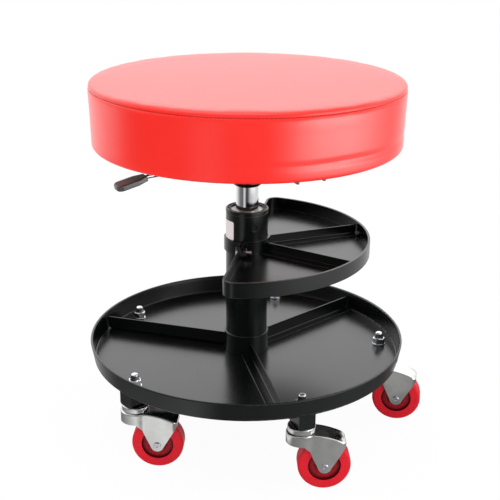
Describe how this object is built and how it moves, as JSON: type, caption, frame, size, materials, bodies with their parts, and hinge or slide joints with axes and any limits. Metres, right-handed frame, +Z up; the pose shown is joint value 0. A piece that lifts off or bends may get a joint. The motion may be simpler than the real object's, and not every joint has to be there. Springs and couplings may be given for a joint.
{
  "type": "creeper seat",
  "caption": "Round padded stool on a gas lift with a height lever, a half-round tray on its column, a round divided tray in its base and swivel casters.",
  "frame": {"origin": "on the floor under the column's axis", "axes": "+Z up along the column, -Y towards the viewer of the front, +X to the viewer's right, on the side of the half-round tray"},
  "size_m": [0.4114, 0.3802, 0.436],
  "materials": {
    "black_coat": "satin",
    "black_plastic": "matte",
    "bright_zinc": "bright",
    "plain_steel": "plain",
    "chrome_tube": "polished",
    "plywood": "plain",
    "red_vinyl": "gloss",
    "red_wheel": "gloss"
  },
  "bodies": {
    "base": {"hub_sleeve": "black_coat", "leg_1": "black_coat", "leg_2": "black_coat", "leg_3": "black_coat", "leg_4": "black_coat", "leg_5": "black_coat", "leg_caps": "black_coat", "lower_tray": "black_coat", "lower_divider_1": "black_coat", "lower_divider_2": "black_coat", "lower_divider_3": "black_coat", "column_tube": "black_coat", "guide_bush": "black_plastic", "mouth_ring": "bright_zinc", "retaining_ring": "black_plastic", "foot_plate": "plain_steel", "thrust_washer": "plain_steel", "caster_stems": "bright_zinc", "stem_washers": "bright_zinc", "cap_nuts": "bright_zinc", "swivel_races": "bright_zinc"},
    "gas_rod": {"piston_rod": "plain_steel", "rod_clip": "plain_steel", "piston": "black_plastic"},
    "seat": {"lift_cylinder": "chrome_tube", "rod_gland": "black_plastic", "valve_block": "plain_steel", "seat_socket": "black_coat", "seat_bracket": "black_coat", "seat_board": "plywood", "seat_bolts": "bright_zinc", "tee_nuts": "bright_zinc", "seat_cushion": "red_vinyl", "lever_ears": "black_coat", "lever_pin": "bright_zinc"},
    "lever": {"lever_rod": "black_coat", "lever_grip": "black_plastic"},
    "valve": {"valve_button": "plain_steel"},
    "tray_carrier": {"upper_tray": "black_coat", "upper_divider_1": "black_coat", "upper_divider_2": "black_coat", "clamp_strap": "black_coat", "clamp_bolts": "bright_zinc", "clamp_nuts": "bright_zinc"},
    "caster_1": {"fork_1": "bright_zinc", "axle_1": "bright_zinc"},
    "roller_1": {"wheel_1": "red_wheel"},
    "caster_2": {"fork_2": "bright_zinc", "axle_2": "bright_zinc"},
    "roller_2": {"wheel_2": "red_wheel"},
    "caster_3": {"fork_3": "bright_zinc", "axle_3": "bright_zinc"},
    "roller_3": {"wheel_3": "red_wheel"},
    "caster_4": {"fork_4": "bright_zinc", "axle_4": "bright_zinc"},
    "roller_4": {"wheel_4": "red_wheel"},
    "caster_5": {"fork_5": "bright_zinc", "axle_5": "bright_zinc"},
    "roller_5": {"wheel_5": "red_wheel"}
  },
  "joints": [
    {"name": "seat_swivel", "type": "hinge", "parent": "base", "child": "gas_rod", "pos_m": [0, 0, 0.08], "axis": [0, 0, 1], "continuous": true},
    {"name": "seat_lift", "type": "slide", "parent": "gas_rod", "child": "seat", "axis": [0, 0, 1], "range_m": [-0.025, 0.095]},
    {"name": "lever_lift", "type": "hinge", "parent": "seat", "child": "lever", "pos_m": [-0.02218, -0.01154, 0.334], "axis": [-0.4617, 0.887, 0], "range_deg": [0, 6], "stiffness_Nm_per_rad": 0.6, "springref_deg": -8.59},
    {"name": "valve_press", "type": "slide", "parent": "seat", "child": "valve", "axis": [0, 0, 1], "range_m": [-0.0031, 0]},
    {"name": "upper_tray_swivel", "type": "hinge", "parent": "base", "child": "tray_carrier", "pos_m": [0, 0, 0.237], "axis": [0, 0, 1], "continuous": true},
    {"name": "caster_1_swivel", "type": "hinge", "parent": "base", "child": "caster_1", "pos_m": [0.1653, 0.01156, 0.07], "axis": [0, 0, 1], "continuous": true},
    {"name": "caster_1_roll", "type": "hinge", "parent": "caster_1", "child": "roller_1", "pos_m": [0.19066, 0.00741, 0.03], "axis": [0.1616, 0.9869, 0], "continuous": true},
    {"name": "caster_2_swivel", "type": "hinge", "parent": "base", "child": "caster_2", "pos_m": [0.04009, 0.16078, 0.07], "axis": [0, 0, 1], "continuous": true},
    {"name": "caster_2_roll", "type": "hinge", "parent": "caster_2", "child": "roller_2", "pos_m": [0.06569, 0.16302, 0.03], "axis": [-0.0872, 0.9962, 0], "continuous": true},
    {"name": "caster_3_swivel", "type": "hinge", "parent": "base", "child": "caster_3", "pos_m": [-0.14052, 0.08781, 0.07], "axis": [0, 0, 1], "continuous": true},
    {"name": "caster_3_roll", "type": "hinge", "parent": "caster_3", "child": "roller_3", "pos_m": [-0.11492, 0.08557, 0.03], "axis": [0.0872, 0.9962, 0], "continuous": true},
    {"name": "caster_4_swivel", "type": "hinge", "parent": "base", "child": "caster_4", "pos_m": [-0.12693, -0.10651, 0.07], "axis": [0, 0, 1], "continuous": true},
    {"name": "caster_4_roll", "type": "hinge", "parent": "caster_4", "child": "roller_4", "pos_m": [-0.10128, -0.10808, 0.03], "axis": [0.061, 0.9981, 0], "continuous": true},
    {"name": "caster_5_swivel", "type": "hinge", "parent": "base", "child": "caster_5", "pos_m": [0.06207, -0.15363, 0.07], "axis": [0, 0, 1], "continuous": true},
    {"name": "caster_5_roll", "type": "hinge", "parent": "caster_5", "child": "roller_5", "pos_m": [0.08776, -0.15287, 0.03], "axis": [-0.0297, 0.9996, 0], "continuous": true}
  ],
  "couplings": [
    {"joint": "valve_press", "follows": "lever_lift", "m_per_rad": -0.028}
  ]
}
